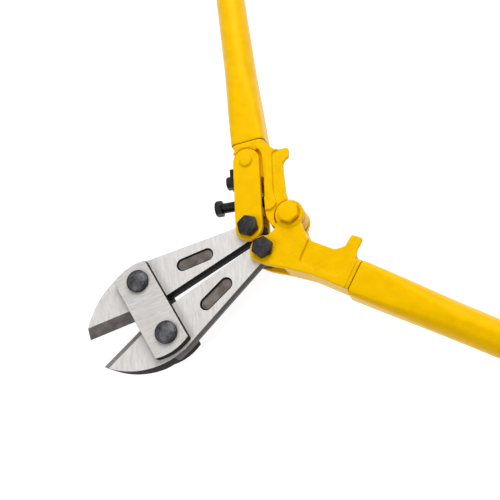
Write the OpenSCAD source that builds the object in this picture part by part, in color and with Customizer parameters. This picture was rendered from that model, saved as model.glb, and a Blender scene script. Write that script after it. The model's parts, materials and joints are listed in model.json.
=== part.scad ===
// Bolt cutters of the 450 mm class: two jaws pinned between side plates,
// two handles pinned to the jaws' tails and to each other.
// Units are millimetres. The tool lies flat: +Z up, the blades towards -X.
// The origin is on the centre pivot, on the plane that the nuts rest on.

/* [Head] */
// Distance between the two jaw pins
pin_spacing = 42; // [41.5:0.1:42.5]
// Distance from a jaw pin to the toggle bolt in the jaw's tail
jaw_arm = 82; // [81.5:0.1:82.5]
// Thickness of a jaw
jaw_thickness = 12.5; // [11.5:0.1:13]
// Thickness of a side plate
plate_thickness = 5.5; // [5:0.1:6]
// Width of a side plate, along the tool
plate_width = 25.8; // [24:0.1:27]
// Length of the cutting edge in front of the jaw pin
blade_reach = 47.5; // [44:0.5:50]
// Width of each cutting bevel
bevel_width = 6.1; // [5:0.1:7]
// Angle of a jaw's arm when the blades meet
closed_arm_angle = 4.35; // [4:0.05:4.6]
// How far the upper jaw stands open
upper_jaw_open = 13.2; // [12.8:0.1:13.6]
// How far the lower jaw stands open
lower_jaw_open = 11.9; // [11.5:0.1:12.1]

/* [Handles] */
// Distance from the centre pivot to a toggle bolt
toggle_radius = 28; // [27.8:0.1:28.4]
// Angle between toggle bolt and tube, upper handle
upper_knuckle_angle = 95; // [94:0.1:96]
// Angle between toggle bolt and tube, lower handle
lower_knuckle_angle = 100.9; // [100:0.1:102]
// Distance of the upper tube's axis from the centre pivot
upper_offset = 21.7; // [21.4:0.1:22.2]
// Distance of the lower tube's axis from the centre pivot
lower_offset = 21.3; // [21:0.1:21.8]
// Radius of a tube at its collar
tube_radius = 11.8; // [11.4:0.1:12]
// Radius of a tube under its grip
tube_end_radius = 10.1; // [9.8:0.1:10.6]
// Distance from the centre pivot to the upper tube's collar
upper_collar = 59; // [58.5:0.1:60]
// Distance from the centre pivot to the lower tube's collar
lower_collar = 57; // [56.5:0.1:58]
// Distance from the centre pivot to the start of a grip
grip_start = 196; // [185:1:220]
// Distance from the centre pivot to a handle's end
handle_length = 315; // [300:1:340]
// Radius of a grip's body
grip_radius = 15.5; // [14:0.5:16.5]
// Half thickness of forks and link pairs
fork_half = 9.9; // [9.5:0.05:10.3]

/* [Adjuster] */
// Distance from the toggle bolt to the rivet, along a link
link_length = 47.6; // [47.2:0.1:48]
// Angle of the links to the upper tube
link_angle = -4.7; // [-5:0.1:-4.4]
// Half width of a link
link_half = 9.2; // [8.8:0.1:9.2]
// Place of the adjusting screw along the link
adjusting_u = 20.2; // [19.5:0.1:21]
// Place of the locking screw along the link
locking_u = 37.5; // [37:0.1:38]

/* [Fasteners] */
// Radius of the toggle bolts and the rivet
bolt_r = 4; // [3.8:0.1:4.2]
// Radius of the centre bolt's shank
centre_r = 3.4; // [3.2:0.1:3.5]
// Width across the flats of the bolt heads and nuts
bolt_flats = 12.6; // [12.4:0.1:13.2]
// Height of a bolt head
bolt_head = 4.6; // [4.2:0.1:5.2]
// Radius of a jaw pin
pin_r = 5; // [4.5:0.1:5.5]
// Radius of a jaw pin's domed head
pin_head_r = 7.6; // [7.2:0.1:8]

/* [Hidden] */

$fn = 64;
eps = 0.01;

// Fits and stack-up
running = 0.05;                              // radial clearance of a pivot
seat = 0.03;                                 // clearance of fixed fasteners
face_gap = 0.1;                              // between sliding flat faces
jaw_half = jaw_thickness / 2;
fork_gap = jaw_half + face_gap;              // half gap inside forks and plates
plate_face = fork_gap + plate_thickness;
washer_t = 1;
washer_r = 8;
nut_t = 6.5;
mid_z = fork_half + washer_t + nut_t;        // height of the tool's mid-plane
pin_half = pin_spacing / 2;
foot = 0.5;                                  // how far shank ends stay off the ground
pin_nut_flats = 16;
pin_rim = 2.4;                               // height of a pin head's rim
pin_dome = 1.9;                              // height of its dome
plate_shift = -2;                            // middle of a side plate from the pins' line
plate_cap_r = 34;
jaw_eye_r = 8.3;                             // rounded tail of a jaw
bevel_end = -9.2;                            // where the cutting bevels stop before the pin
rivet_head_r = 5.4;
rivet_head_h = 2.2;

// Linkage, worked out in the head's frame: pins at x = 0, the axis along +X
function polar(r, a) = r * [cos(a), sin(a)];
function direction(v) = atan2(v[1], v[0]);
upper_toggle_head = [0, pin_half] + polar(jaw_arm, closed_arm_angle - upper_jaw_open);
lower_toggle_head = [0, -pin_half] + polar(jaw_arm, lower_jaw_open - closed_arm_angle);
toggle_span = upper_toggle_head - lower_toggle_head;
toggle_reach = sqrt(toggle_radius ^ 2 - (norm(toggle_span) / 2) ^ 2);
centre_head = (upper_toggle_head + lower_toggle_head) / 2
  + toggle_reach * [toggle_span[1], -toggle_span[0]] / norm(toggle_span);
upper_toggle_dir = direction(upper_toggle_head - centre_head);
lower_toggle_dir = direction(lower_toggle_head - centre_head);
upper_tube_dir = upper_toggle_dir - upper_knuckle_angle;
lower_tube_dir = lower_toggle_dir + lower_knuckle_angle;

// Handle frame: x along the tube, y outwards, the centre pivot at the origin
upper_toggle = polar(toggle_radius, upper_knuckle_angle);
lower_toggle = polar(toggle_radius, lower_knuckle_angle);
rivet = upper_toggle + polar(link_length, link_angle);
ear_r = 9.4;                                 // lower casting's ear at the centre
ear_clearance = 0.3;
toggle_ear_r = 9;
tongue_r = 9.3;
fork_end = 12.8;                             // depth of the lower casting's slot
web_top = fork_half - 0.8;                   // front of the webs and horns
web_low = 6;                                 // back of the webs and horns
collar_l = 4.1;                              // length of the rounded collars
collar_round = 5;
spigot_r = 8;
spigot_l = 26;
tube_bore = 8.1;
slot_travel = 5;                             // travel of the bolt in the tongue
slot_dir = 54;
slot_r = centre_r + 1.3;
pivot_path = [1.5, 2.2];                     // middle of the pivot's path over the tongue
pivot_sway = 2.7;                            // furthest that the path lies from its middle

black = "#26282c";
steel = "#c9c7c2";
yellow = "#f5be00";
rubber = "#1c1d1f";

// ---- Outline helpers ----

function unit(v) = v / norm(v);
// Points of the fillet of radius r at corner p between the points a and b
function fillet(a, p, b, r, n = 6) =
  let (u = unit(a - p), v = unit(b - p), half = acos(u * v) / 2, t = r / tan(half),
    c = p + unit(u + v) * r / sin(half), a0 = direction(p + u * t - c),
    side = (u[0] * v[1] - u[1] * v[0]) < 0 ? 1 : -1, sweep = side * (180 - 2 * half))
  [for (i = [0:n]) c + polar(r, a0 + sweep * i / n)];
// Closed outline from corners [x, y, fillet radius]
function rounded(c) = let (n = len(c)) [for (i = [0:n - 1])
  let (p = [c[i][0], c[i][1]], a = c[(i + n - 1) % n], b = c[(i + 1) % n])
  each (c[i][2] > 0 ? fillet([a[0], a[1]], p, [b[0], b[1]], c[i][2]) : [p])];
// Points of the arc through p, q and s
function arc3(p, q, s, n = 14) =
  let (d = 2 * (p[0] * (q[1] - s[1]) + q[0] * (s[1] - p[1]) + s[0] * (p[1] - q[1])),
    c = [(p * p) * (q[1] - s[1]) + (q * q) * (s[1] - p[1]) + (s * s) * (p[1] - q[1]),
      (p * p) * (s[0] - q[0]) + (q * q) * (p[0] - s[0]) + (s * s) * (q[0] - p[0])] / d,
    a0 = direction(p - c), sweep = direction(s - c) - a0)
  [for (i = [0:n]) c + polar(norm(p - c), a0 + (sweep > 180 ? sweep - 360
    : sweep < -180 ? sweep + 360 : sweep) * i / n)];

// Extrudes an outline between two heights
module slab(low, high) {
  translate([0, 0, low]) linear_extrude(high - low) children();
}
// Extrudes an outline between two heights in front of and behind the mid-plane
module both_sides(low, high) {
  slab(low, high) children();
  slab(-high, -low) children();
}
// Band of half width r from a to b, with round ends
module band(a, b, r) {
  translate(a) circle(r);
  translate(b) circle(r);
  translate(a) rotate(direction(b - a)) translate([0, -r]) square([norm(b - a), 2 * r]);
}
module bar_z(r, low, high) {
  translate([0, 0, low]) cylinder(r = r, h = high - low);
}

// ---- Places ----

module in_head() {
  translate([-centre_head[0], -centre_head[1], mid_z]) children();
}
module at_pin(side) {
  in_head() translate([0, side * pin_half, 0]) children();
}
module upper_handle_frame() {
  translate([0, 0, mid_z]) rotate(upper_tube_dir) children();
}
module lower_handle_frame() {
  translate([0, 0, mid_z]) rotate(lower_tube_dir) mirror([0, 1, 0]) children();
}
// Link frame: x from the toggle bolt to the rivet, y outwards
module link_frame() {
  upper_handle_frame() translate(upper_toggle) rotate(link_angle) children();
}
module at_toggle_upper() {
  upper_handle_frame() translate(upper_toggle) children();
}
module at_toggle_lower() {
  lower_handle_frame() translate(lower_toggle) children();
}

// ---- Fasteners ----

module hexagon_prism(flats, h) {
  difference() {
    rotate(30) cylinder(r = flats / sqrt(3), h = h, $fn = 6);
    // turned chamfer of the outer corners
    rotate_extrude() polygon([[flats / 2, h + eps], [flats, h + eps],
      [flats, h - flats * 0.29], [flats / 2, h - eps]]);
  }
}
module hex_nut(flats, thickness, bore) {
  difference() {
    mirror([0, 0, 1]) hexagon_prism(flats, thickness);
    bar_z(bore, -thickness - 1, 1);
  }
}
module hex_bolt(r, top, bottom) {
  translate([0, 0, top]) hexagon_prism(bolt_flats, bolt_head);
  bar_z(r, bottom, top + eps);
}
module ring(inner, outer, low, high) {
  difference() {
    bar_z(outer, low, high);
    bar_z(inner, low - 1, high + 1);
  }
}
// Domed cap of base radius r and height h, standing on z = 0
module dome(r, h) {
  sphere_r = (r * r + h * h) / (2 * h);
  intersection() {
    translate([0, 0, h - sphere_r]) sphere(sphere_r);
    cylinder(r = r, h = h + 1);
  }
}
module jaw_pin() {
  translate([0, 0, plate_face]) {
    cylinder(r = pin_head_r, h = pin_rim);
    translate([0, 0, pin_rim]) dome(pin_head_r, pin_dome);
  }
  bar_z(pin_r, -mid_z + foot, plate_face + eps);
}
module toggle_bolt() {
  hex_bolt(bolt_r, fork_half, -mid_z + foot);
}
module toggle_washer() {
  ring(bolt_r + seat, washer_r, -fork_half - washer_t, -fork_half);
}
module toggle_nut() {
  translate([0, 0, -fork_half - washer_t]) hex_nut(bolt_flats, nut_t, bolt_r + seat);
}

// ---- Head ----

module side_plate() {
  linear_extrude(plate_thickness) difference() {
    intersection() {
      translate([plate_shift, 0]) circle(plate_cap_r, $fn = 128);
      translate([plate_shift - plate_width / 2, -plate_cap_r])
        square([plate_width, 2 * plate_cap_r]);
    }
    for (side = [-1, 1]) translate([0, side * pin_half]) circle(pin_r + seat);
  }
}

// ---- Jaws: drawn closed, the pin at the origin, the blades meeting at y = -pin_half ----

tail = polar(jaw_arm, closed_arm_angle);
edge_y = -pin_half + 0.15;
module jaw_outline() {
  shoulder = [-8, 13.7];
  nose = arc3([-blade_reach, edge_y], [-30, 2.9], shoulder);
  inner_edge = rounded([[84, 0, 0], [75, -2.3, 10], [15, -14.4, 8], [4, -15.6, 3],
    [-7, -15.6, 2], [-8, edge_y, 0]]);
  outer_edge = rounded([[-30, 12, 0], [2, 14.9, 12], [12, 14.2, 20], [46, 12.4, 60],
    [72, 10.9, 20], [84, 11, 0]]);
  polygon(concat(nose, [for (i = [1:len(outer_edge) - 1]) outer_edge[i]], inner_edge));
}
module jaw(recess) {
  recess_depth = 1.2;
  recess_r = 4.4;
  difference() {
    union() {
      slab(-jaw_half, jaw_half) jaw_outline();
      translate(tail) bar_z(jaw_eye_r, -jaw_half, jaw_half);
    }
    // cutting bevels, front and rear
    for (side = [0, 1]) mirror([0, 0, side])
      translate([-60, 0, 0]) rotate([90, 0, 90]) linear_extrude(60 + bevel_end)
        polygon([[edge_y - 1, -eps], [edge_y - 1, jaw_half + 1],
          [edge_y + bevel_width * (1 + 1 / jaw_half), jaw_half + 1], [edge_y, 0], [edge_y, -eps]]);
    both_sides(jaw_half - recess_depth, jaw_half + 1) band(recess[0], recess[1], recess_r);
    bar_z(pin_r + running, -jaw_half - 1, jaw_half + 1);
    translate(tail) bar_z(bolt_r + running, -jaw_half - 1, jaw_half + 1);
  }
}

// ---- Adjustable toggle, in the link frame ----

module link_plate() {
  linear_extrude(fork_half - fork_gap) difference() {
    band([0, 0], [link_length, 0], link_half);
    circle(bolt_r + seat);
    translate([link_length, 0]) circle(bolt_r + running);
  }
}
// Hole or shank along -y, from y = from down to y = to, at x = u
module bar_y(u, r, from, to) {
  translate([u, from, 0]) rotate([90, 0, 0]) cylinder(r = r, h = from - to);
}
adjusting_r = 3.5;
locking_r = 3;
block_from = 11.5;
block_to = 27;
block_in = -7.5;
block_out = 8.5;
tip_y = -10.8;                               // tip of the adjusting screw
plate_in = 9.3;                              // inner face of the locking plate
plate_out = 12.8;
plate_from = 31.8;                           // its start along the link
plate_length = 13.4;
plate_half = 6;
adjusting_head_y = 20.5;
locking_tip_y = -4;
module screw_head(u, y, flats, h) {
  translate([u, y, 0]) rotate([-90, 0, 0]) hexagon_prism(flats, h);
}

// ---- Castings, in the handle frame ----

module lower_outline() {
  polygon(rounded([[-6, 4, 0], [-4.6, 13.5, 3], [-8, 20, 0], [-13, 33, 0],
    [-9.5, 37, 6], [0, 36.6, 14], [15, 33.4, 40], [31, 31, 40],
    [lower_collar, lower_offset + tube_radius - 2.2, 0],
    [lower_collar, lower_offset - tube_radius + 0.5, 0], [52.4, 9, 2], [51.1, 5.5, 4],
    [51.3, -3.3, 1.8], [43.4, -2.5, 1], [42.8, 5.8, 3], [37.8, 10.2, 5],
    [19, 10.8, 8], [8.6, 1.3, 8], [5, -5, 0]]));
  circle(ear_r);
  translate(lower_toggle) circle(toggle_ear_r);
}
// Hollow of the lower casting, open to the back
module lower_hollow_outline() {
  polygon(rounded([[20.5, -10, 0], [20.5, 26, 4], [52, 26, 4], [52, 9.2, 0], [62, 9.2, 0],
    [62, -10, 0]]));
}
module upper_body_outline() {
  polygon(rounded([[7.5, 1, 0], [7.5, 15.6, 1.5], [30, 13.4, 30], [43, 12.9, 0],
    [upper_collar - collar_l, 13, 8], [upper_collar - collar_l, 31.5, 1.5],
    [upper_collar, upper_offset + tube_radius - 1, 0],
    [upper_collar, upper_offset - tube_radius + 0.5, 0], [52.6, 7.4, 5], [48, 3, 4],
    [48.1, -5.8, 1.8], [41, -5, 1.2], [39.6, -2.6, 2], [36.8, -0.3, 4],
    [24, 0.3, 10], [12, 0.8, 0]]));
}
// Hollow of the upper casting, open to the back
module upper_hollow_outline() {
  polygon(rounded([[13.5, -10, 0], [13.5, 3.4, 2], [19, 7.8, 4], [50, 7.2, 4], [62, 9.6, 0],
    [62, -10, 0]]));
}
module upper_tongue_outline() {
  polygon(rounded([[8.8, 0, 0], [13, 3, 4], [20, 8, 0], [54, 8, 0], [54, 31, 0], [44, 31.5, 8],
    [33, 26, 8], [32, 13.2, 3], [8, 13.4, 4], [2, 15, 5], [-6.5, 13, 5], [-8, 4, 0]]));
  circle(tongue_r);
}
module spigot(collar, offset) {
  translate([collar - eps, offset, 0]) rotate([0, 90, 0]) cylinder(r = spigot_r, h = spigot_l);
}
// Rounds the corners of a casting where it meets its tube
module round_collar(collar, offset) {
  translate([collar - collar_l, offset, 0]) rotate([90, 0, 90]) linear_extrude(collar_l + 1)
    difference() {
      translate([-25, -15]) square([50, 30]);
      polygon(rounded([for (c = [[1, 1], [-1, 1], [-1, -1], [1, -1]])
        [c[0] * tube_radius, c[1] * fork_half, collar_round]]));
    }
}
module casting_panel(depth, points) {
  both_sides(fork_half - depth, fork_half + 1) polygon(rounded(points));
}
module handle_tube(collar, offset) {
  translate([0, offset, 0]) rotate([0, 90, 0]) rotate_extrude()
    polygon([[tube_bore, collar + 0.1], [tube_radius, collar + 0.1],
      [tube_end_radius, grip_start], [tube_end_radius, handle_length - 4],
      [tube_bore, handle_length - 4]]);
}
module handle_grip(offset) {
  flange_r = mid_z;
  flange_l = 5;
  rib_count = 14;
  rib_pitch = 6.4;
  rib_depth = 0.8;
  first_rib = grip_start + 14;
  ribs = [for (i = [0:rib_count - 1]) each [[grip_radius, first_rib + i * rib_pitch],
    [grip_radius - rib_depth, first_rib + i * rib_pitch + 1],
    [grip_radius - rib_depth, first_rib + i * rib_pitch + 2],
    [grip_radius, first_rib + i * rib_pitch + 3]]];
  translate([0, offset, 0]) rotate([0, 90, 0]) rotate_extrude()
    polygon(concat([[tube_end_radius + seat, grip_start + eps], [flange_r - 1.5, grip_start + eps],
      [flange_r, grip_start + 1.5], [flange_r, grip_start + flange_l - 1.5],
      [flange_r - 1.5, grip_start + flange_l], [grip_radius, grip_start + flange_l + 4]],
      ribs, [[grip_radius, handle_length - 10], [grip_radius + 1.4, handle_length - 7],
      [grip_radius + 1.4, handle_length - 3], [grip_radius - 1.5, handle_length],
      [0, handle_length], [0, handle_length - 4 + seat],
      [tube_end_radius + seat, handle_length - 4 + seat]]));
}

// ---- Sub-parts ----

module side_plate_front() {
  color(steel) in_head() translate([0, 0, fork_gap]) side_plate();
}
module side_plate_rear() {
  color(steel) in_head() translate([0, 0, -plate_face]) side_plate();
}
module jaw_pin_upper() {
  color(black) at_pin(1) jaw_pin();
}
module jaw_pin_lower() {
  color(black) at_pin(-1) jaw_pin();
}
module jaw_pin_nuts() {
  color(black) for (side = [-1, 1]) at_pin(side)
    translate([0, 0, -plate_face]) hex_nut(pin_nut_flats, mid_z - plate_face, pin_r + seat);
}
module jaw_upper() {
  color(steel) at_pin(1) rotate(-upper_jaw_open) jaw([[31, 1.4], [48.7, 1.4]]);
}
module jaw_lower() {
  color(steel) at_pin(-1) rotate(lower_jaw_open) mirror([0, 1, 0]) jaw([[30.7, 3.1], [48.6, 3.1]]);
}
module link_plate_front() {
  color(yellow) link_frame() translate([0, 0, fork_gap]) link_plate();
}
module link_plate_rear() {
  color(yellow) link_frame() translate([0, 0, -fork_half]) link_plate();
}
module adjuster_block() {
  color(yellow) link_frame() difference() {
    slab(-fork_gap, fork_gap) translate([block_from, block_in])
      square([block_to - block_from, block_out - block_in]);
    bar_y(adjusting_u, adjusting_r + running, block_out + 1, block_in - 1);
  }
}
module toggle_bolt_upper() {
  color(black) at_toggle_upper() rotate(6) toggle_bolt();
}
module toggle_washer_upper() {
  color(black) at_toggle_upper() toggle_washer();
}
module toggle_nut_upper() {
  color(black) at_toggle_upper() toggle_nut();
}
module adjusting_screw() {
  color(black) link_frame() {
    screw_head(adjusting_u, adjusting_head_y, 9.6, 4.5);
    bar_y(adjusting_u, adjusting_r, adjusting_head_y + eps, tip_y);
  }
}
module locking_screw() {
  color(black) link_frame() {
    screw_head(locking_u, plate_out, 8, 3.6);
    bar_y(locking_u, locking_r, plate_out + eps, locking_tip_y);
  }
}
module locking_plate() {
  color(black) link_frame() difference() {
    slab(-plate_half, plate_half) translate([plate_from, plate_in])
      square([plate_length, plate_out - plate_in]);
    bar_y(locking_u, locking_r + seat, plate_out + 1, plate_in - 1);
  }
}
module link_rivet() {
  color(yellow) link_frame() translate([link_length, 0, 0]) {
    bar_z(bolt_r, -fork_half - eps, fork_half + eps);
    for (side = [0, 1]) mirror([0, 0, side]) translate([0, 0, fork_half]) dome(rivet_head_r, rivet_head_h);
  }
}
module upper_casting() {
  color(yellow) upper_handle_frame() {
    difference() {
      union() {
        slab(-fork_half, fork_half) upper_body_outline();
        slab(-fork_gap + face_gap, fork_gap - face_gap) upper_tongue_outline();
      }
      slab(-fork_half, fork_half) band([0, 0], polar(slot_travel, slot_dir), slot_r);
      translate(rivet) bar_z(bolt_r + seat, -fork_half, fork_half);
      casting_panel(fork_half - web_top, [[7, -9, 0], [7, 9.6, 0], [46.5, 5.9, 3], [50.5, -9, 0]]);
      slab(-fork_half - 1, web_low) upper_hollow_outline();
      both_sides(fork_gap - face_gap, fork_half + 1)
        translate(pivot_path) circle(ear_r + pivot_sway + ear_clearance);
      round_collar(upper_collar, upper_offset);
      translate(upper_toggle) rotate(link_angle)
        bar_y(locking_u, locking_r + seat, plate_out, locking_tip_y - 1);
    }
    spigot(upper_collar, upper_offset);
  }
}
module upper_tube() {
  color(yellow) upper_handle_frame() handle_tube(upper_collar, upper_offset);
}
module upper_grip() {
  color(rubber) upper_handle_frame() handle_grip(upper_offset);
}
module lower_casting() {
  color(yellow) lower_handle_frame() {
    difference() {
      slab(-fork_half, fork_half) lower_outline();
      slab(-fork_gap, fork_gap) translate([fork_end - 60, -20]) square([60, 70]);
      bar_z(centre_r + seat, -fork_half - 1, fork_half + 1);
      translate(lower_toggle) bar_z(bolt_r + seat, -fork_half - 1, fork_half + 1);
      casting_panel(fork_half - web_top,
        [[18.6, -8, 0], [20.2, 27, 3], [46.5, 26.2, 4], [51.4, 20, 4], [52, -8, 0]]);
      slab(-fork_half - 1, web_low) lower_hollow_outline();
      round_collar(lower_collar, lower_offset);
    }
    spigot(lower_collar, lower_offset);
  }
}
module lower_tube() {
  color(yellow) lower_handle_frame() handle_tube(lower_collar, lower_offset);
}
module lower_grip() {
  color(rubber) lower_handle_frame() handle_grip(lower_offset);
}
module toggle_bolt_lower() {
  color(black) at_toggle_lower() rotate(12) toggle_bolt();
}
module toggle_washer_lower() {
  color(black) at_toggle_lower() toggle_washer();
}
module toggle_nut_lower() {
  color(black) at_toggle_lower() toggle_nut();
}
module centre_bolt() {
  color(yellow) lower_handle_frame() rotate(-6) hex_bolt(centre_r, fork_half, -mid_z);
}
module centre_washer() {
  color(yellow) lower_handle_frame()
    ring(centre_r + seat, washer_r, -fork_half - washer_t, -fork_half);
}
module centre_nut() {
  color(yellow) lower_handle_frame() translate([0, 0, -fork_half - washer_t])
    hex_nut(bolt_flats, nut_t, centre_r + seat);
}

side_plate_front();
side_plate_rear();
jaw_pin_upper();
jaw_pin_lower();
jaw_pin_nuts();
jaw_upper();
jaw_lower();
link_plate_front();
link_plate_rear();
adjuster_block();
toggle_bolt_upper();
toggle_washer_upper();
toggle_nut_upper();
adjusting_screw();
locking_screw();
locking_plate();
link_rivet();
upper_casting();
upper_tube();
upper_grip();
lower_casting();
lower_tube();
lower_grip();
toggle_bolt_lower();
toggle_washer_lower();
toggle_nut_lower();
centre_bolt();
centre_washer();
centre_nut();
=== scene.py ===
"""Looks of the bolt cutters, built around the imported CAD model.

Every piece is drawn in millimetres in a flat frame of its own body, with z = 0
on the tool's mid-plane, and is then placed into the shared frame, in metres.
"""

import json
import math

import bmesh
import bpy
from mathutils import Matrix, Vector


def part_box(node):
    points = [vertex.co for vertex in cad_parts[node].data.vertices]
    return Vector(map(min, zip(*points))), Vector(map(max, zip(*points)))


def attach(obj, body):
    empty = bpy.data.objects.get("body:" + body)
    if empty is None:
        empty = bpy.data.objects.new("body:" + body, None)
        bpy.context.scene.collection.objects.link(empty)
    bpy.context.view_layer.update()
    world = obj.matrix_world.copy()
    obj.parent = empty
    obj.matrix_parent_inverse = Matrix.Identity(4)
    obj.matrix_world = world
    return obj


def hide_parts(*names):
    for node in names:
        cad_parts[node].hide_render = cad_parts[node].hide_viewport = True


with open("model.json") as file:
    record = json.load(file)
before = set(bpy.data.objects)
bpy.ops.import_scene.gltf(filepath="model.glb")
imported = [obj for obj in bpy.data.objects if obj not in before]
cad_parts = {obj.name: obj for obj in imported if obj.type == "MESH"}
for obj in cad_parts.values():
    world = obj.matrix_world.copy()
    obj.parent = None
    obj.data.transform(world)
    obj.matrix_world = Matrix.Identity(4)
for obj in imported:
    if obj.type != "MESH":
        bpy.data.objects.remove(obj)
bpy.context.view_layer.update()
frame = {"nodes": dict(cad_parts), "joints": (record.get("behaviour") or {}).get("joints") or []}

MM = 0.001

# ---- Sizes that the frame doesn't state, in millimetres and degrees ----

# From a jaw's x axis to its toggle bolt, seen from the jaw pin, and how far off it is.
CLOSED_ARM_ANGLE = 4.35
TAIL_REACH = 82.0

# From a handle's x axis to its toggle bolt, seen from the centre bolt.
UPPER_KNUCKLE = 95.0
LOWER_KNUCKLE = 100.9

# From the centre bolt to the axis of each tube, and to where each tube meets its casting.
UPPER_OFFSET = 21.7
LOWER_OFFSET = 21.3
UPPER_COLLAR = 59.0
LOWER_COLLAR = 57.0

# Half thicknesses about the mid-plane, and the height of the castings' front panels.
JAW_HALF = 6.25
FORK_HALF = 9.9
PANEL_TOP = 9.1

# Half widths and radii in the flat of the tool.
COLLAR_HALF = 11.8
LINK_HALF = 9.2
EAR_R = 9.4

# Tolerances for finding points of the CAD shapes, and for joining points that coincide.
TINY = 0.01
NEAR = 0.05
WELD = 0.001

# ---- Places ----

joints = {joint["name"]: joint for joint in frame["joints"]}


def joint_at(name):
    return Vector(joints[name]["pos_m"])


def place(origin, angle, mirrored=False):
    """Local millimetres to the shared frame: x along angle, y flipped when mirrored."""
    flip = Matrix.Scale(-1, 4, (0, 1, 0)) if mirrored else Matrix.Identity(4)
    turn = Matrix.Rotation(angle, 4, "Z")
    return Matrix.Translation(origin) @ turn @ flip @ Matrix.Scale(MM, 4)


def heading(start, end):
    return math.atan2(end.y - start.y, end.x - start.x)


pin_upper = joint_at("upper_jaw_pivot")
pin_lower = joint_at("lower_jaw_pivot")
toggle_upper = joint_at("upper_toggle_pivot")
toggle_lower = joint_at("handle_closing")
rivet = joint_at("link_adjustment")
mid_z = pin_upper.z / MM
centre = Vector((0, 0, pin_upper.z))

HEAD = place((pin_upper + pin_lower) / 2, 0)
UPPER_JAW = place(pin_upper, heading(pin_upper, toggle_upper) - math.radians(CLOSED_ARM_ANGLE))
LOWER_JAW = place(pin_lower, heading(pin_lower, toggle_lower) + math.radians(CLOSED_ARM_ANGLE), True)
UPPER_HANDLE = place(centre, heading(centre, toggle_upper) - math.radians(UPPER_KNUCKLE))
LOWER_HANDLE = place(centre, heading(centre, toggle_lower) + math.radians(LOWER_KNUCKLE), True)
LINK = place(toggle_upper, heading(toggle_upper, rivet))
PIN_HALF = (pin_upper - pin_lower).length / 2 / MM
LINK_LENGTH = (rivet - toggle_upper).length / MM


def at(point, spin=0.0):
    """Local millimetres round a joint, turned by spin degrees."""
    return place(point, math.radians(spin))


# ---- Materials ----


def new_material(name, **settings):
    """(material, its node tree, its Principled node), with constant sockets set."""
    material = bpy.data.materials.new(name)
    material.use_nodes = True
    tree = material.node_tree
    shader = tree.nodes["Principled BSDF"]
    for socket, value in settings.items():
        shader.inputs[socket.replace("_", " ")].default_value = value
    return material, tree, shader


def coordinates(tree, scale=(1, 1, 1), turn=0.0):
    """Object coordinates, turned back by turn degrees about z and then scaled."""
    source = tree.nodes.new("ShaderNodeTexCoord")
    mapping = tree.nodes.new("ShaderNodeMapping")
    mapping.vector_type = "TEXTURE"
    mapping.inputs["Scale"].default_value = [1 / size for size in scale]
    mapping.inputs["Rotation"].default_value = (0, 0, math.radians(turn))
    tree.links.new(source.outputs["Object"], mapping.inputs["Vector"])
    return mapping.outputs["Vector"]


def noise(tree, vector, scale, detail=3.0, roughness=0.5, distortion=0.0):
    node = tree.nodes.new("ShaderNodeTexNoise")
    node.inputs["Scale"].default_value = scale
    node.inputs["Detail"].default_value = detail
    node.inputs["Roughness"].default_value = roughness
    node.inputs["Distortion"].default_value = distortion
    tree.links.new(vector, node.inputs["Vector"])
    return node.outputs["Fac"]


def ramp(tree, value, stops):
    """Colour ramp through [(position, colour)]."""
    node = tree.nodes.new("ShaderNodeValToRGB")
    elements = node.color_ramp.elements
    while len(elements) < len(stops):
        elements.new(0.5)
    for element, (position, colour) in zip(elements, stops):
        element.position = position
        element.color = (*colour, 1)
    tree.links.new(value, node.inputs["Fac"])
    return node.outputs["Color"]


def span(tree, value, low, high):
    """value from 0..1 carried to low..high."""
    node = tree.nodes.new("ShaderNodeMapRange")
    node.inputs["To Min"].default_value = low
    node.inputs["To Max"].default_value = high
    tree.links.new(value, node.inputs["Value"])
    return node.outputs["Result"]


def mix(tree, factor, a, b, blend="MIX"):
    node = tree.nodes.new("ShaderNodeMix")
    node.data_type = "RGBA"
    node.blend_type = blend
    for label, value in (("Factor", factor), ("A", a), ("B", b)):
        socket = node.inputs[label]
        if isinstance(value, bpy.types.NodeSocket):
            tree.links.new(value, socket)
        elif isinstance(value, tuple):
            socket.default_value = (*value, 1)
        else:
            socket.default_value = value
    return node.outputs["Result"]


def bump(tree, shader, heights):
    """Stacks [(height, strength, distance in metres)] onto the shader's normal."""
    normal = None
    for height, strength, distance in heights:
        node = tree.nodes.new("ShaderNodeBump")
        node.inputs["Strength"].default_value = strength
        node.inputs["Distance"].default_value = distance
        tree.links.new(height, node.inputs["Height"])
        if normal is not None:
            tree.links.new(normal, node.inputs["Normal"])
        normal = node.outputs["Normal"]
    tree.links.new(normal, shader.inputs["Normal"])


def brushed_steel(name, tone, grain_turn):
    """Ground plate: fine wavy streaks along one direction over a soft mottle."""
    material, tree, shader = new_material(name, Metallic=0.35, Specular_IOR_Level=0.3)
    streaks = noise(tree, coordinates(tree, (70, 480, 200), grain_turn), 1.0, 6, 0.7, 1.6)
    hairs = noise(tree, coordinates(tree, (160, 2600, 900), grain_turn), 1.0, 3, 0.6, 0.3)
    mottle = noise(tree, coordinates(tree), 60, 4, 0.6)
    dark = tuple(c * 0.84 for c in tone)
    colour = mix(tree, span(tree, mottle, 0.0, 1.0), dark, tone)
    streaked = ramp(tree, streaks, [(0.34, (0.78, 0.765, 0.75)), (0.60, (1, 1, 1))])
    haired = ramp(tree, hairs, [(0.3, (0.88, 0.88, 0.88)), (0.6, (1, 1, 1))])
    colour = mix(tree, 0.9, colour, streaked, "MULTIPLY")
    tree.links.new(mix(tree, 0.9, colour, haired, "MULTIPLY"), shader.inputs["Base Color"])
    tree.links.new(span(tree, streaks, 0.46, 0.7), shader.inputs["Roughness"])
    bump(tree, shader, [(streaks, 0.3, 0.0003), (hairs, 0.2, 0.0001), (mottle, 0.15, 0.0008)])
    return material


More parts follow.
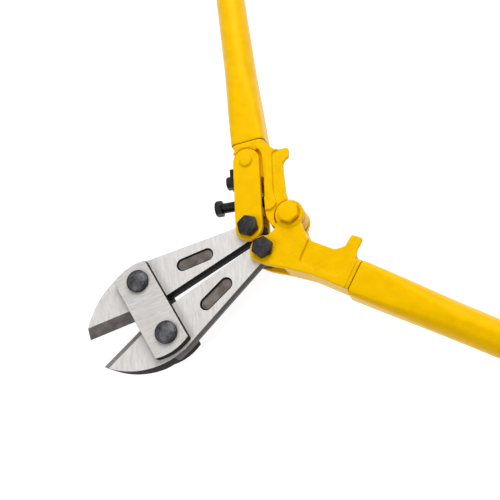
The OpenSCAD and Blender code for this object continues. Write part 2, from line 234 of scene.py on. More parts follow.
def forged_oxide(name, tone, light, rough=(0.42, 0.68), metal=0.35, sheen=0.35):
    """Forged or cast skin: dark oxide with brown patches and a pitted surface."""
    material, tree, shader = new_material(name, Metallic=metal, Specular_IOR_Level=sheen)
    vector = coordinates(tree)
    patches = noise(tree, vector, 160, 6, 0.65, 0.4)
    pits = noise(tree, vector, 900, 3, 0.6)
    colour = ramp(tree, patches, [(0.3, tone), (0.7, light)])
    tree.links.new(colour, shader.inputs["Base Color"])
    tree.links.new(span(tree, patches, *rough), shader.inputs["Roughness"])
    bump(tree, shader, [(patches, 0.3, 0.0006), (pits, 0.25, 0.0002)])
    return material


def black_oxide(name, dark, light, rough, coat=0.2):
    """Blued steel: dark, slightly blue, with lighter rubbed patches and an oily sheen."""
    material, tree, shader = new_material(name, Metallic=0.7, Coat_Weight=coat, Coat_Roughness=0.3)
    vector = coordinates(tree)
    cloud = noise(tree, vector, 260, 6, 0.7, 0.8)
    grain = noise(tree, vector, 1500, 2, 0.5)
    colour = ramp(tree, cloud, [(0.36, dark), (0.56, light), (0.74, tuple(c * 2.2 for c in light))])
    tree.links.new(colour, shader.inputs["Base Color"])
    tree.links.new(span(tree, cloud, *rough), shader.inputs["Roughness"])
    bump(tree, shader, [(cloud, 0.45, 0.0007), (grain, 0.2, 0.0001)])
    return material


def enamel(name, tone=(0.745, 0.42, 0.0002), light=(0.83, 0.472, 0.0004), lumps=0.0):
    """Thick glossy enamel over drawn steel, or over a sand-cast skin where lumps is set."""
    material, tree, shader = new_material(name, Roughness=0.38, Specular_IOR_Level=0.36)
    shader.inputs["Specular Tint"].default_value = (1.0, 0.66, 0.0, 1)
    vector = coordinates(tree)
    cast = noise(tree, vector, 110, 4, 0.55)
    peel = noise(tree, vector, 650, 2, 0.5)
    colour = ramp(tree, cast, [(0.3, tone), (0.7, light)])
    tree.links.new(colour, shader.inputs["Base Color"])
    tree.links.new(span(tree, peel, 0.26, 0.44), shader.inputs["Roughness"])
    heights = [(cast, 0.3, 0.0009), (peel, 0.16, 0.0002)]
    if lumps:
        sand = noise(tree, vector, 380, 5, 0.65, 0.3)
        heights.insert(1, (sand, lumps, 0.0007))
    bump(tree, shader, heights)
    return material


def grip_rubber(name):
    """Moulded grip: matt black with a fine leather grain."""
    material, tree, shader = new_material(name, Specular_IOR_Level=0.35)
    vector = coordinates(tree)
    cells = tree.nodes.new("ShaderNodeTexVoronoi")
    cells.inputs["Scale"].default_value = 1100
    tree.links.new(vector, cells.inputs["Vector"])
    dust = noise(tree, vector, 90, 4, 0.6)
    colour = ramp(tree, dust, [(0.3, (0.012, 0.012, 0.013)), (0.75, (0.032, 0.032, 0.034))])
    tree.links.new(colour, shader.inputs["Base Color"])
    tree.links.new(span(tree, dust, 0.55, 0.8), shader.inputs["Roughness"])
    bump(tree, shader, [(cells.outputs["Distance"], 0.35, 0.0002), (dust, 0.1, 0.0005)])
    return material


PLATE = brushed_steel("plate_steel", (0.69, 0.665, 0.645), -14)
JAW_FACE = brushed_steel("jaw_face_steel", (0.77, 0.75, 0.735), 66)
EDGE_STEEL = forged_oxide("edge_steel", (0.12, 0.105, 0.10), (0.25, 0.225, 0.215))
SIDE_STEEL = forged_oxide("side_steel", (0.012, 0.0105, 0.0095), (0.10, 0.088, 0.08))
# Dark forged skin, which also lines each jaw recess's floor as painted shade.
FORGED_SKIN_AND_SHADE = forged_oxide("forged_skin_and_shade", (0.004, 0.0035, 0.003), (0.022, 0.018, 0.016), (0.6, 0.8), 0.0, 0.12)
RECESS = forged_oxide("recess_skin", (0.055, 0.045, 0.038), (0.21, 0.18, 0.16), (0.5, 0.75))
# Black oxide, which also darkens the pins' rolled rims and sides as painted shade.
BLACK = black_oxide("black_oxide", (0.007, 0.0066, 0.0072), (0.027, 0.025, 0.0275), (0.3, 0.55), 0.12)
PIN_SKIN = black_oxide("pin_oxide", (0.03, 0.03, 0.034), (0.095, 0.095, 0.106), (0.34, 0.6))
SCREW_SKIN = black_oxide("screw_oxide", (0.003, 0.003, 0.0035), (0.010, 0.010, 0.0115), (0.3, 0.5), 0.03)
YELLOW = enamel("yellow_enamel")
CAST_YELLOW = enamel("cast_enamel", lumps=0.55)
RUBBER = grip_rubber("grip_rubber")
# Dark enamel on each tube's end and lip at the seam with its casting: painted shade in the gap between
# the parts.
SEAM_SHADE = enamel("seam_shade_enamel", (0.16, 0.07, 0.0004), (0.3, 0.13, 0.0006))

# ---- Mesh tools, in local millimetres ----


def polar(radius, angle, centre_at=(0, 0)):
    return (centre_at[0] + radius * math.cos(angle), centre_at[1] + radius * math.sin(angle))


def arc(radius, start, end, steps, centre_at=(0, 0)):
    """Points from start to end, in degrees."""
    return [
        polar(radius, math.radians(start + (end - start) * i / steps), centre_at)
        for i in range(steps + 1)
    ]


def add_prism(bm, outline, low, high):
    """Closed prism over a counter-clockwise outline."""
    bottom = [bm.verts.new((x, y, low)) for x, y in outline]
    top = [bm.verts.new((x, y, high)) for x, y in outline]
    bm.faces.new(reversed(bottom))
    bm.faces.new(top)
    for i in range(len(outline)):
        j = (i + 1) % len(outline)
        bm.faces.new((bottom[i], bottom[j], top[j], top[i]))


def add_rings(bm, rings, closed=False):
    """Skin over rings of equal length, with the ends filled or joined to each other."""
    loops = [[bm.verts.new(point) for point in ring] for ring in rings]
    count = len(loops[0])
    pairs = list(zip(loops, loops[1:]))
    if closed:
        pairs.append((loops[-1], loops[0]))
    else:
        bm.faces.new(reversed(loops[0]))
        bm.faces.new(loops[-1])
    for a, b in pairs:
        for i in range(count):
            j = (i + 1) % count
            bm.faces.new((a[i], a[j], b[j], b[i]))


def add_lathe(bm, profile, steps, closed=False):
    """Turned shape about z from a profile of (radius, z), bottom to top."""
    rings = []
    for radius, z in profile:
        ring = arc(radius, 0, 360, steps)[:-1]
        rings.append([(x, y, z) for x, y in ring])
    add_rings(bm, rings, closed)


HEX_STEPS = 120
HEX_LEVELS = 14
HEX_SLOPE = 1.75
HEX_FACE_SHARE = 0.475
HEX_CORNER_SHARE = 0.985
HEX_SOFT = 0.18
HEX_SET_BACK = 0.9


def hex_radius(angle, flats):
    """Radius of a hexagon with softened corners, a flat facing 30 degrees."""
    sector = (angle % (math.pi / 3)) - math.pi / 6
    sharp = flats / 2 / math.cos(sector)
    corner = flats / math.sqrt(3) * HEX_CORNER_SHARE
    return min(sharp, corner)


def add_hexagon(bm, flats, low, high, undercut=0.0):
    """Hexagonal head: chamfered by a cone at the top, with a foot set back over undercut."""
    face_r = flats * HEX_FACE_SHARE
    top_drop = (flats / math.sqrt(3) - face_r) / HEX_SLOPE
    heights = [low, low + undercut * 0.98] if undercut else [low]
    heights += [low + undercut + 0.02, low + undercut + 0.4]
    heights += [high - top_drop * (1 - i / HEX_LEVELS) for i in range(HEX_LEVELS + 1)]
    angles = [2 * math.pi * i / HEX_STEPS for i in range(HEX_STEPS)]
    rings = []
    for z in heights:
        ring = []
        for angle in angles:
            limit = face_r + (high - z) * HEX_SLOPE
            sharp = hex_radius(angle, flats)
            gap = max(HEX_SOFT - abs(sharp - limit), 0) / HEX_SOFT
            radius = min(sharp, limit) - gap * gap * HEX_SOFT / 4
            if z < low + undercut:
                radius -= HEX_SET_BACK
            ring.append((*polar(radius, angle), z))
        rings.append(ring)
    rings.append([(*polar(face_r - 0.5, angle), high + 0.05) for angle in angles])
    add_rings(bm, rings)


def soft_corner(radius, centre_r, centre_z, start, end, steps=5):
    """Profile points of a rounded corner."""
    return arc(radius, start, end, steps, (centre_r, centre_z))


# ---- Pieces ----


def make_piece(name, bm, where, body, nodes, materials, bevel=0.0, segments=3, sharp=35):
    """Places a local mesh, hides the CAD nodes that it stands in for, and softens its edges if bevel is
    set.
    """
    bm.transform(where)
    bmesh.ops.recalc_face_normals(bm, faces=bm.faces)
    mesh = bpy.data.meshes.new(name)
    bm.to_mesh(mesh)
    bm.free()
    for material in materials:
        mesh.materials.append(material)
    piece = bpy.data.objects.new(name, mesh)
    bpy.context.scene.collection.objects.link(piece)
    mesh.shade_smooth()
    mesh.set_sharp_from_angle(angle=math.radians(sharp))
    if bevel:
        modifier = piece.modifiers.new("soft_edges", "BEVEL")
        modifier.width = bevel * MM
        modifier.segments = segments
        modifier.limit_method = "ANGLE"
        modifier.angle_limit = math.radians(sharp)
        modifier.harden_normals = True
        weld = piece.modifiers.new("weld", "WELD")
        weld.merge_threshold = WELD * MM
    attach(piece, body)
    if nodes:
        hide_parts(*nodes)
    return piece


def cad_copy(node, where):
    """A node's mesh, welded and cleared of flat edges, back in its local millimetres."""
    bm = bmesh.new()
    bm.from_mesh(frame["nodes"][node].data)
    bm.transform(where.inverted())
    bmesh.ops.remove_doubles(bm, verts=bm.verts, dist=0.002)
    bmesh.ops.dissolve_limit(bm, angle_limit=math.radians(0.6), verts=bm.verts, edges=bm.edges)
    bmesh.ops.recalc_face_normals(bm, faces=bm.faces)
    return bm


def head_plate(name, node, low, high):
    """Side plate: straight sides, round caps, softly rolled edges."""
    plate_low, plate_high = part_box(node)
    half = (plate_high.x - plate_low.x) / 2 / MM
    middle = ((plate_high.x + plate_low.x) / 2 - HEAD.translation.x) / MM
    reach = (plate_high.y - plate_low.y) / 2 / MM
    swing = math.degrees(math.asin(half / reach))
    caps = arc(reach, 90 - swing, 90 + swing, 28) + arc(reach, 270 - swing, 270 + swing, 28)
    outline = [(x + middle, y) for x, y in caps]
    bm = bmesh.new()
    add_prism(bm, outline, low, high)
    for face in bm.faces:
        face.normal_update()
        face.material_index = 0 if abs(face.normal.z) > 0.5 else 1
    make_piece(name, bm, HEAD, "head", [node], [PLATE, FORGED_SKIN_AND_SHADE], bevel=0.35, sharp=30)


plate_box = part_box("side_plate_front")
PLATE_LOW = (plate_box[0].z - pin_upper.z) / MM
PLATE_HIGH = (plate_box[1].z - pin_upper.z) / MM
head_plate("head_plate_front", "side_plate_front", PLATE_LOW, PLATE_HIGH)
head_plate("head_plate_rear", "side_plate_rear", -PLATE_HIGH, -PLATE_LOW)

PIN_DOME = 1.9
PIN_ROLL = 0.7
PIN_FOOT = 0.35
PIN_SHANK_R = 5.0
PIN_STEPS = 14

# The part of a face's normal along z, above which a face belongs to the dome's lighter middle; the faces
# below it take the darker oxide, as painted shade round the rolled rim.
PIN_RIM_SHADE_LIMIT = 0.915


def pin(name, node, where):
    """Jaw pin: low domed head whose rolled rim is darkened as painted shade, and a plain shank to the
    rear.
    """
    low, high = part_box(node)
    radius = (high.x - low.x) / 2 / MM
    top = (high.z - pin_upper.z) / MM
    rim = top - PIN_DOME
    dome_r = (radius**2 + PIN_DOME**2) / (2 * PIN_DOME)
    half_angle = math.asin((radius - 0.25) / dome_r)
    profile = [(PIN_SHANK_R - 1.4, -mid_z + 0.5), (PIN_SHANK_R - 0.2, -mid_z + 1.4)]
    profile += [(PIN_SHANK_R, -mid_z + 2), (PIN_SHANK_R, PLATE_HIGH)]
    profile += [(radius - PIN_FOOT, PLATE_HIGH), (radius, PLATE_HIGH + PIN_FOOT), (radius, rim - 0.5)]
    profile += soft_corner(PIN_ROLL, radius - PIN_ROLL, rim - PIN_FOOT, 0, 60)
    for i in range(1, PIN_STEPS):
        t = half_angle * (1 - i / PIN_STEPS)
        profile.append((dome_r * math.sin(t), top - dome_r * (1 - math.cos(t))))
    bm = bmesh.new()
    add_lathe(bm, profile, 72)
    bm.normal_update()
    # Faces off the dome's middle get the darker black oxide: painted shade round the rim.
    for face in bm.faces:
        face.material_index = 0 if abs(face.normal.z) > PIN_RIM_SHADE_LIMIT else 1
    make_piece(name, bm, where, "head", [node], [PIN_SKIN, BLACK], sharp=50)


pin("pin_head_upper", "jaw_pin_upper", at(pin_upper))
pin("pin_head_lower", "jaw_pin_lower", at(pin_lower))

PIN_NUT_FLATS = 16
FACE_REAR = Matrix.Scale(-1, 4, (0, 0, 1))

bm = bmesh.new()
for side in (-1, 1):
    part = bmesh.new()
    add_hexagon(part, PIN_NUT_FLATS, 0, mid_z - PLATE_HIGH)
    part.transform(Matrix.Translation((0, side * PIN_HALF, -PLATE_HIGH)) @ FACE_REAR)
    scratch = bpy.data.meshes.new("scratch")
    part.to_mesh(scratch)
    part.free()
    bm.from_mesh(scratch)
    bpy.data.meshes.remove(scratch)
make_piece("pin_nuts", bm, HEAD, "head", ["jaw_pin_nuts"], [BLACK], sharp=40)

# The jaws' holes and recess, where the CAD shape stays as it is.
PIN_EYE_R = 6
TAIL_EYE_R = 9
RECESS_START = 24
RECESS_END = 56
RECESS_Y = 2
RECESS_REACH = 6.5
# Width of the band round each recess floor that takes the dark forged skin: painted shade in the recess's
# corners.
RECESS_SHADE_RIM = 0.95

# Draft of the forging behind its parting plane. It fades towards the nose, below NOSE_START.
PARTING = 0.8
DRAFT = 2.2
INNER_DRAFT = 1.15
NOSE_START = 4
NOSE_FADE = 26.0
NOSE_DRAFT = 0.15

# The outer side is lighter from NOSE_END on, this far or further from the recess's middle line.
NOSE_END = -9.0
SIDE_REACH = 7

# How much of a face's normal is along z, on ground faces, on bevels and on upright sides.
FLAT = 0.98
SLOPED = 0.3
UPRIGHT = 0.1

# Order of a jaw's materials.
GROUND_SLOT, BEVEL_SLOT, FLOOR_SLOT, SKIN_AND_SHADE_SLOT, SIDE_SLOT = range(5)


def jaw_draft(vertex):
    """How far a point of the jaw's rear part moves in, or None where it stays."""
    x, y, z = vertex.co
    tail = polar(TAIL_REACH, math.radians(CLOSED_ARM_ANGLE))
    near_bore = math.hypot(x, y) < PIN_EYE_R or math.hypot(x - tail[0], y - tail[1]) < TAIL_EYE_R
    near_recess = RECESS_START < x < RECESS_END and abs(y - RECESS_Y) < RECESS_REACH
    if z > PARTING - TINY or near_bore or near_recess:
        return None
    sides = [face.normal for face in vertex.link_faces if abs(face.normal.z) < UPRIGHT]
    if not sides:
        return None
    outward = sum(sides, Vector()).normalized()
    depth = (PARTING - z) / (JAW_HALF + PARTING)
    draft = DRAFT if outward.y > 0 else INNER_DRAFT
    if x < NOSE_START:
        draft *= max(1 - (NOSE_START - x) / NOSE_FADE, NOSE_DRAFT)
    return -outward * draft * depth


def jaw(name, node, where, body):
    """Forged jaw: ground faces, oxide on the sides, bevels and recesses, painted shade round the recess
    floors, drafted rear part.
    """
    bm = cad_copy(node, where)
    geometry = bm.verts[:] + bm.edges[:] + bm.faces[:]
    bmesh.ops.bisect_plane(bm, geom=geometry, plane_co=(0, 0, PARTING), plane_no=(0, 0, 1))
    bm.normal_update()
    shifts = [(vertex, jaw_draft(vertex)) for vertex in bm.verts]
    for vertex, shift in shifts:
        if shift is not None:
            vertex.co += shift
    bm.normal_update()
    for face in bm.faces:
        middle = face.calc_center_median()
        if abs(face.normal.z) > FLAT:
            face.material_index = GROUND_SLOT if abs(middle.z) > JAW_HALF - 0.3 else FLOOR_SLOT
        elif abs(face.normal.z) > SLOPED and middle.x < 0 and middle.y < 0:
            face.material_index = BEVEL_SLOT
        elif face.normal.y > 0 and middle.x > NOSE_END and abs(middle.y - RECESS_Y) > SIDE_REACH:
            face.material_index = SIDE_SLOT
        else:
            face.material_index = SKIN_AND_SHADE_SLOT
    # A band round each recess floor takes the dark forged skin as painted shade.
    floors = [face for face in bm.faces if face.material_index == FLOOR_SLOT]
    for face in bmesh.ops.inset_region(bm, faces=floors, thickness=RECESS_SHADE_RIM)["faces"]:
        face.material_index = SKIN_AND_SHADE_SLOT
    materials = [JAW_FACE, EDGE_STEEL, RECESS, FORGED_SKIN_AND_SHADE, SIDE_STEEL]
    make_piece(name, bm, where, body, [node], materials, bevel=0.4, sharp=25)


jaw("jaw_upper_forging", "jaw_upper", UPPER_JAW, "upper_jaw")
jaw("jaw_lower_forging", "jaw_lower", LOWER_JAW, "lower_jaw")

BOLT_FLATS = 12.6
BOLT_HEAD_HEIGHT = 4.6
BOLT_UNDERCUT = 0.9
BOLT_CHAMFER = 0.8
TOGGLE_SHANK_R = 4
CENTRE_SHANK_R = 3.4
WASHER_R = 8
WASHER_BORE_R = 4.2
WASHER_EDGE = 0.2
WASHER_HEIGHT = 1.0
NUT_HEIGHT = 6.5
REAR = -FORK_HALF - WASHER_HEIGHT

# How far round each head is turned, from its handle's x axis.
UPPER_BOLT_TURN = 6
LOWER_BOLT_TURN = -12
CENTRE_BOLT_TURN = 6


def hex_bolt(name, node, where, body, shank_r, shank_end, skin):
    """Hexagon head on the front, with a shank and a chamfered end."""
    bm = bmesh.new()
    add_hexagon(bm, BOLT_FLATS, FORK_HALF, FORK_HALF + BOLT_HEAD_HEIGHT, BOLT_UNDERCUT)
    profile = [(shank_r - BOLT_CHAMFER, shank_end), (shank_r, shank_end + BOLT_CHAMFER)]
    profile += [(shank_r, FORK_HALF + 0.3)]
    add_lathe(bm, profile, 48)
    make_piece(name, bm, where, body, [node], [skin], sharp=40)


def washer(name, node, where, body, skin):
    """Flat washer on the rear."""
    low, high, inner = REAR, -FORK_HALF, WASHER_R - WASHER_EDGE
    profile = [(WASHER_BORE_R, low), (inner, low), (WASHER_R, low + WASHER_EDGE)]
    profile += [(WASHER_R, high - WASHER_EDGE), (inner, high), (WASHER_BORE_R, high)]
    bm = bmesh.new()
    add_lathe(bm, profile, 64, closed=True)
    make_piece(name, bm, where, body, [node], [skin], sharp=40)


def nut(name, node, where, body, skin):
    """Hexagon nut behind the washer, chamfered on its outer face."""
    bm = bmesh.new()
    add_hexagon(bm, BOLT_FLATS, -REAR, NUT_HEIGHT - REAR)
    bm.transform(FACE_REAR)
    make_piece(name, bm, where, body, [node], [skin], sharp=40)


upper_turn = math.degrees(heading(centre, toggle_upper)) - UPPER_KNUCKLE
lower_turn = math.degrees(heading(centre, toggle_lower)) + LOWER_KNUCKLE
for label, point, spin, body in (
    ("upper", toggle_upper, upper_turn + UPPER_BOLT_TURN, "link"),
    ("lower", toggle_lower, lower_turn + LOWER_BOLT_TURN, "lower_handle"),
):
    where = at(point, spin)
    bolt_node = f"toggle_bolt_{label}"
    shank_end = -mid_z + 0.5
    hex_bolt(
        f"toggle_{label}_bolt", bolt_node, where, body, TOGGLE_SHANK_R, shank_end, BLACK
    )
    washer(f"toggle_{label}_washer", f"toggle_washer_{label}", where, body, BLACK)
    nut(f"toggle_{label}_nut", f"toggle_nut_{label}", where, body, BLACK)

where = at(centre, lower_turn + CENTRE_BOLT_TURN)
body = "lower_handle"
hex_bolt("centre_hex_bolt", "centre_bolt", where, body, CENTRE_SHANK_R, -mid_z, YELLOW)
washer("centre_plain_washer", "centre_washer", where, body, YELLOW)
nut("centre_hex_nut", "centre_nut", where, body, YELLOW)


def link_plate(name, node, low, high):
    """Link of the adjustable toggle: a round-ended bar with rolled edges."""
    outline = arc(LINK_HALF, 90, 270, 36) + arc(LINK_HALF, -90, 90, 36, (LINK_LENGTH, 0))
    bm = bmesh.new()
    add_prism(bm, outline, low, high)
    make_piece(
        name, bm, LINK, "link", [node], [YELLOW], bevel=0.8, segments=4, sharp=40
    )


link_plate("link_front", "link_plate_front", PLATE_LOW, FORK_HALF)
link_plate("link_rear", "link_plate_rear", -FORK_HALF, -PLATE_LOW)

for name, node, body, slot, skin, edge, steps, sharp in (
    ("adjuster_bridge", "adjuster_block", "link", "yellow_enamel", YELLOW, 0.5, 3, 40),
    ("adjusting_set_screw", "adjusting_screw", "adjusting_screw", "black_oxide", SCREW_SKIN, 0.2, 2, 35),
    ("locking_set_screw", "locking_screw", "locking_screw", "black_oxide", SCREW_SKIN, 0.2, 2, 35),
    ("locking_clamp", "locking_plate", "locking_screw", "black_oxide", SCREW_SKIN, 0.5, 3, 35),
):
    make_piece(name, cad_copy(node, LINK), LINK, body, [node], [skin], edge, steps, sharp)

RIVET_R = 4
RIVET_HEAD_R = 5.2
RIVET_ROLL = 0.9

# The rivet's two ends, as (radius, rise over the link's face).
RIVET_TAIL = [(4.6, 1.3), (RIVET_HEAD_R, 0.5), (5.3, 0), (RIVET_R, -0.2)]
RIVET_DOME = [(4.1, 1.15), (3.5, 1.5), (2.2, 1.75), (0.8, 1.85)]

profile = [(radius, -FORK_HALF - rise) for radius, rise in RIVET_TAIL]
profile += [(RIVET_R, FORK_HALF - 0.2), (RIVET_HEAD_R, FORK_HALF)]
profile += arc(RIVET_ROLL, 260, 200, 5, (RIVET_HEAD_R, FORK_HALF + 0.95))
profile += [(radius, FORK_HALF + rise) for radius, rise in RIVET_DOME]
bm = bmesh.new()
add_lathe(bm, profile, 56)
where = at(rivet)
make_piece(
    "link_rivet_head", bm, where, "upper_handle", ["link_rivet"], [YELLOW], sharp=40
)

VOXEL = 0.45
SOFTENING = 5


def casting(name, node, where, body, extras):
    """Cast knuckle: the CAD shape and its raised details fused, then softened all over."""
    bm = cad_copy(node, where)
    extras(bm)
    piece = make_piece(name, bm, where, body, [], [CAST_YELLOW], sharp=180)
    remesh = piece.modifiers.new("fuse", "REMESH")
    remesh.mode = "VOXEL"
    remesh.voxel_size = VOXEL * MM
    smooth = piece.modifiers.new("soften", "SMOOTH")
    smooth.factor = 0.5
    smooth.iterations = SOFTENING
    bpy.context.view_layer.update()
    evaluated = piece.evaluated_get(bpy.context.evaluated_depsgraph_get())
    mesh = bpy.data.meshes.new_from_object(evaluated)
    piece.modifiers.clear()
    piece.data = mesh
    mesh.shade_smooth()
    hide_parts(node)


def sink_panel(bm, depth):
    """Lowers the front panel, which the CAD sets a little below the casting's face."""
    for vertex in bm.verts:
        if abs(vertex.co.z - PANEL_TOP) < NEAR:
            vertex.co.z -= depth


LOWER_SINK = 0.8
BOSS_R = 9.5
BOSS_RISE = 0.9
BOSS_ROLL = 0.8
SEAT_R = 6.9
SEAT_RISE = 0.2
BOSS_BORE_R = 3
RIM_X = (53.0, 54.6)
RIM_Y = (12, 31)
RIM_RISE = 0.7


def lower_details(bm):
    """Deeper panel, round boss under the centre bolt and a low rim before the tube."""
    sink_panel(bm, LOWER_SINK)
    boss_top = FORK_HALF + BOSS_RISE
    seat = FORK_HALF + SEAT_RISE
    boss = [(BOSS_R, FORK_HALF - 2)]
    boss += soft_corner(BOSS_ROLL, BOSS_R - BOSS_ROLL, boss_top - BOSS_ROLL, 0, 90)
    boss += [(SEAT_R, boss_top), (SEAT_R - 0.2, seat), (BOSS_BORE_R, seat)]
    add_lathe(bm, boss, 64)
    rim = [(RIM_X[0], RIM_Y[0]), (RIM_X[1], RIM_Y[0]), (RIM_X[1], RIM_Y[1]), (RIM_X[0], RIM_Y[1])]
    add_prism(bm, rim, 8, FORK_HALF + RIM_RISE)


UPPER_SINK = 0.5
TONGUE_REACH = 20
TONGUE_THINNING = 0.86
EAR_GAP = 1.3
RIB_X = 16
ARCH_SPREAD = 48
ARCH_GAP = 0.5
ARCH_WIDTH = 2.1


def upper_details(bm):
    """Deeper panel, thinner tongue, and what is raised: the saddle that runs from the rib to
    the pivot, the rib's end, the panel's floor beside it, the arch round the link and the
    rib's ridge."""
    sink_panel(bm, UPPER_SINK)
    for vertex in bm.verts:
        if abs(vertex.co.z) < JAW_HALF + 0.1 and vertex.co.xy.length < TONGUE_REACH:
            vertex.co.z *= TONGUE_THINNING
    tongue_edge = [(5.2, 16.0), (1.0, 15.4), (-3.6, 13.4), (-6.6, 10.8)]
    saddle = [(RIB_X, 0.6), (RIB_X, 15.2)] + tongue_edge + arc(EAR_R + EAR_GAP, 121, 3, 40)
    add_prism(bm, saddle, 3, FORK_HALF - 1.5)
    rib_end = [(RIB_X, 8.4), (RIB_X, 15.2), (6.6, 15.6), (6.2, 12.4), (7.6, 9.2), (10, 7.4)]
    add_prism(bm, rib_end, 4, FORK_HALF)
    panel_floor = [(RIB_X, 0.8), (RIB_X, 9), (9, 8), (11.4, 1.4)]
    add_prism(bm, panel_floor, 4, PANEL_TOP - UPPER_SINK)
    hub = UPPER_HANDLE.inverted() @ rivet
    inner_r = LINK_HALF + ARCH_GAP
    arch = arc(inner_r, -ARCH_SPREAD, ARCH_SPREAD, 20, hub)
    arch += arc(inner_r + ARCH_WIDTH, ARCH_SPREAD, -ARCH_SPREAD, 20, hub)
    add_prism(bm, arch, 3, FORK_HALF - 0.6)
    ridge = [(14, 11.4), (44, 9.8), (44, 11.0), (14, 12.6)]
    add_prism(bm, ridge, 8, FORK_HALF + 0.3)


casting("lower_knuckle", "lower_casting", LOWER_HANDLE, "lower_handle", lower_details)
casting("upper_knuckle", "upper_casting", UPPER_HANDLE, "upper_handle", upper_details)

# Places along a handle's x axis, from the centre bolt.
GRIP_START = 196.0
GRIP_END = 315.0
TUBE_END = 310.0

SEAM_GAP = 0.15
TUBE_FLAT = 70
TUBE_CORNER = 4
TUBE_END_R = 10.1
TUBE_HALF_Z = FORK_HALF - 0.1
TUBE_LIP = (0.7, 0.25)


def tube_section(x, offset, half_y, half_z, corner):
    """Rounded rectangle across the tube."""
    ring = []
    for sign_y, sign_z, start in ((1, 1, 0), (-1, 1, 90), (-1, -1, 180), (1, -1, 270)):
        hub = (offset + sign_y * (half_y - corner), sign_z * (half_z - corner))
        ring += [(x, y, z) for y, z in arc(corner, start, start + 90, 12, hub)]
    return ring


def tube(name, node, where, body, offset, collar):
    """Drawn tube: squarish behind the casting, running out to a round end."""
    start = collar + SEAM_GAP
    lip_stations = [start, start + 0.35, start + 0.8]
    fine_stations = [start + 2 + i * 2 for i in range(34)]
    coarse_stations = [start + 72 + i * 8 for i in range(8)]
    rings = []
    for index, x in enumerate(lip_stations + fine_stations + coarse_stations + [GRIP_START, TUBE_END]):
        along = (x - start) / (GRIP_START - start)
        radius = COLLAR_HALF + (TUBE_END_R - COLLAR_HALF) * min(along, 1)
        t = min((x - start) / TUBE_FLAT, 1)
        t = t * t * (3 - 2 * t)
        half_z = TUBE_HALF_Z + (radius - TUBE_HALF_Z) * t
        corner = TUBE_CORNER + (min(radius, half_z) - 0.02 - TUBE_CORNER) * t
        lip = TUBE_LIP[index] if index < len(TUBE_LIP) else 0
        rings.append(tube_section(x, offset, radius - lip, half_z - lip, corner - lip))
    bm = bmesh.new()
    add_rings(bm, rings)
    # The tube's end and lip faces take the dark enamel as painted shade in the seam.
    for face in bm.faces:
        face.material_index = 1 if face.calc_center_median().x < start + 0.3 else 0
    make_piece(name, bm, where, body, [node], [YELLOW, SEAM_SHADE], sharp=50)


tube("upper_handle_tube", "upper_tube", UPPER_HANDLE, "upper_handle", UPPER_OFFSET, UPPER_COLLAR)
tube("lower_handle_tube", "lower_tube", LOWER_HANDLE, "lower_handle", LOWER_OFFSET, LOWER_COLLAR)

GRIP_BORE_R = 10.4
GRIP_R = 15.5
FLANGE_HUB_R = 15.8
FLANGE_ROLL = 1.4
RIBS = 14
RIB_PITCH = 6.4
GROOVE = 3.2
GROOVE_DEPTH = 0.85
GROOVE_STEPS = 8
END_R = 16.8
END_HUB_R = 14.7
END_ROLL = 2.2


def grip(name, node, where, body, offset):
    """Moulded grip: a guard flange, a ribbed hold and a swollen end."""
    start, end = GRIP_START, GRIP_END
    profile = [(GRIP_BORE_R, start + 0.2), (GRIP_R + 0.1, start + 0.3)]
    profile += soft_corner(FLANGE_ROLL, FLANGE_HUB_R, start + 1.7, -90, 0, 6)
    profile += soft_corner(FLANGE_ROLL, FLANGE_HUB_R, start + 3.4, 0, 80, 6)
    profile += [(GRIP_R + 0.1, start + 7.5), (GRIP_R, start + 12)]
    for i in range(RIBS):
        rib = start + 14 + i * RIB_PITCH
        for j in range(GROOVE_STEPS + 1):
            depth = GROOVE_DEPTH * math.sin(math.pi * j / GROOVE_STEPS) ** 0.7
            profile.append((GRIP_R - depth, rib + GROOVE * j / GROOVE_STEPS))
        profile.append((GRIP_R, rib + GROOVE * 1.5))
    profile += [(GRIP_R + 0.1, end - 11), (END_R, end - 7.5)]
    profile += soft_corner(END_ROLL, END_HUB_R, end - END_ROLL, 0, 85, 7)
    profile += [(9, end - 0.05)]
    bm = bmesh.new()
    add_lathe(bm, profile, 96)
    turn = Matrix.Rotation(math.pi / 2, 4, "Y")
    bm.transform(Matrix.Translation((0, offset, 0)) @ turn)
    make_piece(name, bm, where, body, [node], [RUBBER], sharp=60)


grip("upper_handle_grip", "upper_grip", UPPER_HANDLE, "upper_handle", UPPER_OFFSET)
grip("lower_handle_grip", "lower_grip", LOWER_HANDLE, "lower_handle", LOWER_OFFSET)

# ---- Floor, light and camera ----

FLOOR_HALF = 30.0
FLOOR_DROP = 0.0005
FLOOR_GLOW = 0.86
WORLD_LIGHT = 0.36

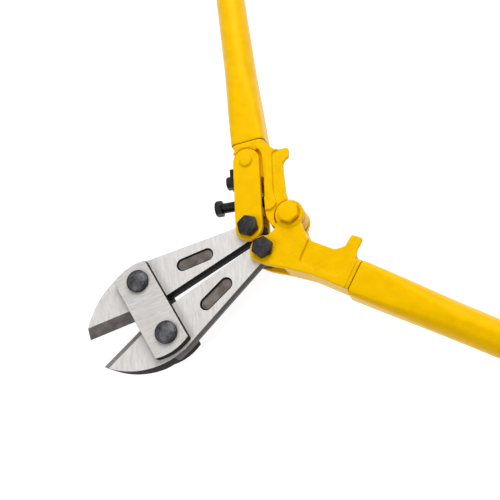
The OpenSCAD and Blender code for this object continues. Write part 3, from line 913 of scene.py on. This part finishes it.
# The camera's lens, its place in metres and its axes were fitted to the photo's view.
CAMERA_LENS = 60.93
CAMERA_PLACE = (0.007207, -0.239891, 0.516821)
CAMERA_RIGHT = Vector((0.81772706, -0.4892056, -0.30331558))
CAMERA_UP = Vector((0.5706036, 0.75826539, 0.31534923))

floor_mesh = bpy.data.meshes.new("floor")
corners = [(FLOOR_HALF * x, FLOOR_HALF * y, 0) for x, y in ((-1, -1), (1, -1), (1, 1), (-1, 1))]
floor_mesh.from_pydata(corners, [], [(0, 1, 2, 3)])
floor_material, _, floor_shader = new_material("floor_paper", Roughness=0.9)
floor_shader.inputs["Base Color"].default_value = (0.3, 0.3, 0.3, 1)
floor_shader.inputs["Emission Color"].default_value = (1, 1, 1, 1)
floor_shader.inputs["Emission Strength"].default_value = FLOOR_GLOW
floor_mesh.materials.append(floor_material)
floor = bpy.data.objects.new("floor", floor_mesh)
bpy.context.scene.collection.objects.link(floor)
floor.location.z = -FLOOR_DROP

world = bpy.data.worlds.new("studio")
world.use_nodes = True
background = world.node_tree.nodes["Background"]
background.inputs["Color"].default_value = (1, 1, 1, 1)
background.inputs["Strength"].default_value = WORLD_LIGHT
bpy.context.scene.world = world


def area_light(name, location, target, size, power):
    light = bpy.data.lights.new(name, "AREA")
    light.shape = "DISK"
    light.size = size
    light.energy = power
    holder = bpy.data.objects.new(name, light)
    holder.location = location
    holder.rotation_euler = (Vector(target) - Vector(location)).to_track_quat("-Z", "Y").to_euler()
    bpy.context.scene.collection.objects.link(holder)


area_light("key", location=(0.66, 0.64, 1.08), target=(-0.02, 0, 0), size=1.3, power=19)
area_light("fill", location=(-0.9, -0.1, 1.2), target=(0, 0, 0), size=0.7, power=6.5)

camera_data = bpy.data.cameras.new("camera")
camera_data.sensor_width = 36
camera_data.lens = CAMERA_LENS
camera_data.clip_start = 0.01
camera = bpy.data.objects.new("camera", camera_data)
axes = Matrix((CAMERA_RIGHT, CAMERA_UP, CAMERA_RIGHT.cross(CAMERA_UP)))
camera.matrix_world = Matrix.Translation(CAMERA_PLACE) @ axes.transposed().to_4x4()
bpy.context.scene.collection.objects.link(camera)
bpy.context.scene.camera = camera
bpy.context.scene.view_settings.view_transform = "Standard"
